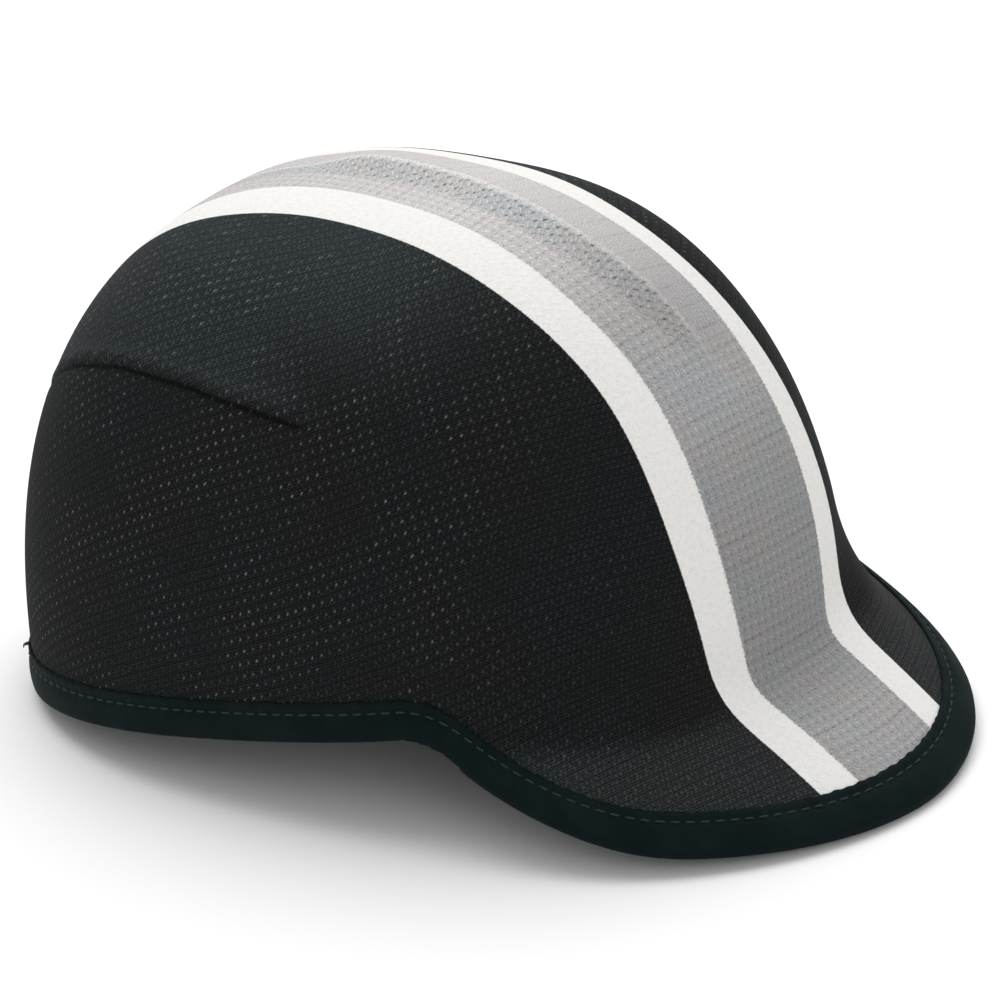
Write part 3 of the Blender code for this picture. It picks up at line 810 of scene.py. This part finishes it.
threadLook = {
    # light: painted highlights on the twist's plies; dark: the thread between them
    "dark": (0.0060, 0.0110, 0.0120, 1), "light": (0.0320, 0.0480, 0.0500, 1),
    "twist": (math.radians(35), 0.5, 0.02),
}


def threadMaterial():
    # twisted thread: lines that slant round it, painted as highlights over a darker ground
    material, tree, shader = newMaterial("thread", 0.6, sheenRoughness=0.4, specular=0.12)
    twist = ribLines(tree, addMap(tree, "threadMap"), *threadLook["twist"])
    tree.links.new(addMix(tree, twist, threadLook["dark"], threadLook["light"]), shader.inputs["Base Color"])
    return material


knit, tape, under, thread = knitMaterial(), tapeMaterial(), peakMaterial(), threadMaterial()
buildCrown(knit)

# firm peak under the cloth
peakBody = {"columns": 140, "rows": 40, "gap": 0.0003, "wall": 0.0016, "inset": 0.0008, "edge": 0.97}


def surfaceAt(turn, inward):
    # point of the cloth and its outward normal at a distance in from the edge, from small steps both ways
    length = lineLength(turn)[:, None]
    share = 1 - inward / length
    point = clothSurface(turn, share)
    across = clothSurface(turn + 0.4, share) - clothSurface(turn - 0.4, share)
    down = clothSurface(turn, share + 0.0004 / length) - clothSurface(turn, share - 0.0004 / length)
    return point, unit(np.cross(down, across))


def buildPeak(material):
    # two sheets under the cloth, a wall apart, and the rim between them
    turn = np.linspace(-rootTurn, rootTurn, peakBody["columns"] + 1) * peakBody["edge"]
    length = lineLength(turn)
    peakLength = length * (1 - creaseShare(turn))
    inward = peakBody["inset"] + (peakLength[:, None] - peakBody["inset"]) * np.linspace(1, 0, peakBody["rows"])
    points, normal = surfaceAt(turn, inward)
    depth = crown["wall"] + peakBody["gap"]
    top, bottom = points - normal * depth, points - normal * (depth + peakBody["wall"])
    columns, rows = inward.shape
    index = np.arange(columns * rows).reshape(columns, rows)
    deep = index + columns * rows
    edge = np.concatenate((index[:, 0], index[-1, 1:], index[-2::-1, -1], index[0, -2:0:-1]))
    rim = gridFaces(np.stack((edge, edge + columns * rows), -1), closedAcross=True, flip=True)
    faces = (gridFaces(index), gridFaces(deep, flip=True), rim)
    maps = {"peakMap": np.concatenate((points, points))[..., :2] * 1000}
    addPiece("peakBody", np.concatenate((top, bottom)), faces, maps, material, ["peak"])


buildPeak(under)

# binding tape folded round the whole edge
binding = {
    "stations": 900, "width": 0.0095, "thickness": 0.00075, "puff": 0.00035, "stitchInward": 0.0068,
    "stitchPitch": 0.0036, "dimple": 0.00034, "pressReach": 0.0011, "edgeWander": 0.00014, "wanderPitch": 0.0083,
    "free": 0.00004,
}


def edgeStations(count):
    # turns of stations spaced evenly along the edge, the first one again at the end, and their distances along it
    turn = np.linspace(-180, 180, 2881)
    edge = clothSurface(turn, np.ones((len(turn), 1)))[:, 0]
    arcs = arcLengths(edge[None])[0]
    wanted = np.linspace(0, arcs[-1], count + 1)
    return np.interp(wanted, arcs, turn), wanted


tapeTurn, tapeAlong = edgeStations(binding["stations"])
tapeTotal = tapeAlong[-1]


def foldedDepth(turn):
    # what the tape is folded over: the cloth, and the firm peak too, which ends short of the roots
    start = smoothStep(0, 1, (rootTurn * peakBody["edge"] - np.abs(turn)) / 3.0)
    return crown["wall"] + (peakBody["gap"] + peakBody["wall"]) * start


def tapeSection(turn, along):
    # outline of the folded tape at every station: distance in from the edge and height over the cloth
    wall, width = binding["thickness"], binding["width"]
    deep = foldedDepth(turn)[:, None]
    middle, half = -deep / 2, deep / 2 + wall
    stitchTurn, wanderTurn = (along / pitch * 2 * np.pi for pitch in (binding["stitchPitch"], binding["wanderPitch"]))
    wander = binding["edgeWander"] * (np.sin(stitchTurn) + 0.7 * np.sin(wanderTurn + 1))[:, None]
    leaf = np.linspace(1, 0, 13)[None]
    inward = (width + wander) * leaf
    press = np.exp(-((inward - binding["stitchInward"]) / binding["pressReach"]) ** 2)
    swell = binding["puff"] * np.sin(np.clip(inward / binding["stitchInward"], 0, 1) * np.pi) ** 0.8
    skin = wall + swell - binding["dimple"] * press * (0.7 + 0.3 * np.cos(stitchTurn)[:, None])
    skin[:, 0] = wall * 0.55
    fold = np.linspace(np.pi / 2, -np.pi / 2, 9)[None, 1:-1]
    foldIn, foldUp = -half * 0.8 * np.cos(fold), middle + half * np.sin(fold)
    inside = np.linspace(1, 0, 5)[None] * width * 0.985 + 0 * deep
    free = binding["free"] + 0 * inside
    return (np.hstack((inward, foldIn, inward[:, ::-1], inside, inside[:, ::-1])),
            np.hstack((skin, foldUp, -deep - skin[:, ::-1], -deep - free, free)))


def buildTape(material):
    # the folded outline swept round the edge, kept above the surface that the cap rests on
    turn, along = tapeTurn[:-1], tapeAlong[:-1]
    inward, height = tapeSection(turn, along)
    points, normal = surfaceAt(turn, inward)
    points = points + normal * height[..., None]
    points[..., 2] = np.maximum(points[..., 2], 0.0)
    stations, section = inward.shape
    index = np.arange(stations * section).reshape(stations, section)
    faces = gridFaces(index, closedAcross=True, closedDown=True)
    steps = arcLengths(points)
    place = np.stack((np.broadcast_to(along[:, None], steps.shape), steps), -1) * 1000
    addPiece("bindingTape", points, [faces], {"tapeMap": place}, material, ["binding"])


buildTape(tape)

# thread: a row of stitches on each side of the tape, and one loose end at the back
seamThread = {"length": 0.0028, "radius": 0.00028, "sections": 8, "sides": 7, "sunk": 0.00010, "sinkEnds": 0.00055}
looseEnd = {
    "turn": -146.0, "inward": 0.0096, "length": 0.0046, "radius": 0.00042, "rings": 14, "sides": 8,
    "droop": 0.0022, "aside": 0.0009, "sunk": 0.0006, "taper": 0.75,
}


def tubeRings(line, aside, up, radius, sides):
    # rings round a line: cosine of the ring's angle along one direction, sine along the other
    ring = 2 * np.pi * np.arange(sides) / sides
    spoke = np.cos(ring)[:, None] * aside[..., None, :] + np.sin(ring)[:, None] * up[..., None, :]
    return line[..., None, :] + radius[..., None, None] * spoke


def tubeFaces(tubes, rings, sides):
    # side faces of every tube and one flat face on each of its small ends
    index = np.arange(tubes * rings * sides).reshape(tubes, rings, sides)
    return gridFaces(index, closedDown=True), index[:, 0, ::-1], index[:, -1]


def tubePiece(name, line, aside, up, radius, sides, material):
    # one piece of all the tubes; its map: rings along, sides round
    points = tubeRings(line, aside, up, radius, sides)
    tubes, rings = radius.shape
    along = np.arange(rings)[None, :, None] * 0.4 + np.arange(tubes)[:, None, None] * 3.0 + np.zeros(sides)
    place = np.stack((along, np.broadcast_to(np.arange(sides) * 0.25, along.shape)), -1)
    addPiece(name, points, tubeFaces(tubes, rings, sides), {"threadMap": place}, material)


def buildStitches(material):
    # each stitch: a straight tube along the tape, round-ended, whose ends dive into it
    count = int(round(tapeTotal / binding["stitchPitch"]))
    step = np.linspace(-1, 1, seamThread["sections"])
    middle = (np.arange(count) + 0.5) * tapeTotal / count
    along = middle[:, None] + step * seamThread["length"] / 2
    turn = np.interp(along.ravel() % tapeTotal, tapeAlong, tapeTurn)
    inward = np.full((turn.size, 1), binding["stitchInward"])
    point, normal = (part[:, 0].reshape(count, -1, 3) for part in surfaceAt(turn, inward))
    heading = unit(np.gradient(point, axis=1))
    skin = binding["thickness"] - binding["dimple"] * 0.85
    sink = seamThread["sunk"] + seamThread["sinkEnds"] * np.abs(step) ** 5
    radius = np.broadcast_to(seamThread["radius"] * np.sqrt(1 - 0.93 * step ** 4), (count, len(step)))
    for name, side, deep in (("stitchesOutside", 1.0, 0.0), ("stitchesInside", -1.0, 1.0)):
        base = deep * foldedDepth(turn).reshape(count, -1)
        line = point - normal * base[..., None] + normal * (side * (skin + seamThread["radius"] - sink))[..., None]
        aside = np.cross(heading, normal) * side
        tubePiece(name, line, aside, normal * side, radius, seamThread["sides"], material)


def buildLooseEnd(material):
    # one tapered tube on a falling parabola from the tape's upper edge
    turn = np.array([looseEnd["turn"]])
    point, normal = (part[0, 0] for part in surfaceAt(turn, np.full((1, 1), looseEnd["inward"])))
    flat, up = unit(normal * (1, 1, 0)), np.array([0, 0, 1.0])
    aside = np.cross(up, flat)
    share = np.linspace(0, 1, looseEnd["rings"])[:, None]
    line = (point - flat * looseEnd["sunk"] + flat * looseEnd["length"] * share * (1 - 0.45 * share)
            + aside * looseEnd["aside"] * np.sin(share * 5) - up * looseEnd["droop"] * share ** 2)
    heading = unit(np.gradient(line, axis=0))
    across = unit(np.cross(heading, up))
    radius = looseEnd["radius"] * (1 - looseEnd["taper"] * share[:, 0] ** 3)
    parts = (part[None] for part in (line, across, np.cross(across, heading), radius))
    tubePiece("looseEnd", *parts, looseEnd["sides"], material)


buildStitches(thread)
buildLooseEnd(thread)

studio = {
    "azimuth": -54.766, "elevation": 24.31, "roll": 3.551, "distance": 1.7392, "target": (0.0, 0.00476, 0.060),
    "pixelsPerMetre": 4315.0, "imageCentre": (478.68, 459.56), "imageSize": 1000.0,
    "sky": (1.0, 1.0, 1.0, 1), "skyStrength": 0.60,
    # lamps: place, point that it looks at, size, power
    "topLight": ((0.60, 0.55, 1.8), (0, 0, 0), 2.4, 38), "frontLight": ((-1.3, -1.6, 1.1), (0, 0, 0.05), 1.4, 8.3),
    "floorColour": (0.93, 0.93, 0.93, 1), "floorHalf": 6,
}


def lookFrom():
    # camera axes from azimuth and elevation, turned by the roll about the line of sight
    a, e, roll = (math.radians(studio[name]) for name in ("azimuth", "elevation", "roll"))
    right = Vector((math.cos(a), math.sin(a), 0))
    back = Vector((math.sin(a) * math.cos(e), -math.cos(a) * math.cos(e), math.sin(e)))
    up = back.cross(right)
    data = bpy.data.cameras.new("camera")
    camera = addObject("camera", data)
    across = right * math.cos(roll) - up * math.sin(roll)
    upward = right * math.sin(roll) + up * math.cos(roll)
    place = Vector(studio["target"]) + back * studio["distance"]
    turn = Matrix((across, upward, back)).transposed().to_4x4()
    camera.matrix_world = Matrix.Translation(place) @ turn
    data.sensor_width = 36.0
    data.lens = studio["pixelsPerMetre"] * studio["distance"] / studio["imageSize"] * data.sensor_width
    data.shift_x = 0.5 - studio["imageCentre"][0] / studio["imageSize"]
    data.shift_y = studio["imageCentre"][1] / studio["imageSize"] - 0.5
    data.clip_start, data.clip_end = 0.01, 50
    bpy.context.scene.camera = camera


def addLamp(name, place, aim, size, power):
    # a square area light that looks at a point
    data = bpy.data.lights.new(name, "AREA")
    data.shape, data.size, data.energy = "SQUARE", size, power
    lamp = addObject(name, data)
    lamp.location = place
    lamp.rotation_euler = (Vector(place) - Vector(aim)).to_track_quat("Z", "Y").to_euler()


lookFrom()
world = bpy.data.worlds.new("studio")
bpy.context.scene.world = world
world.use_nodes = True
sky = world.node_tree.nodes["Background"].inputs
sky["Color"].default_value, sky["Strength"].default_value = studio["sky"], studio["skyStrength"]
for lampName in ("topLight", "frontLight"):
    addLamp(lampName, *studio[lampName])
floorMesh = bpy.data.meshes.new("floor")
half = studio["floorHalf"]
floorMesh.from_pydata([(-half, -half, 0), (half, -half, 0), (half, half, 0), (-half, half, 0)], [], [(0, 1, 2, 3)])
floor = addObject("floor", floorMesh)
floorLook, _, floorShader = newMaterial("floor", 0.9, specular=0.1)
floorShader.inputs["Base Color"].default_value = studio["floorColour"]
floorMesh.materials.append(floorLook)
bpy.context.scene.view_settings.view_transform = "Standard"
print("camera, light and floor set")
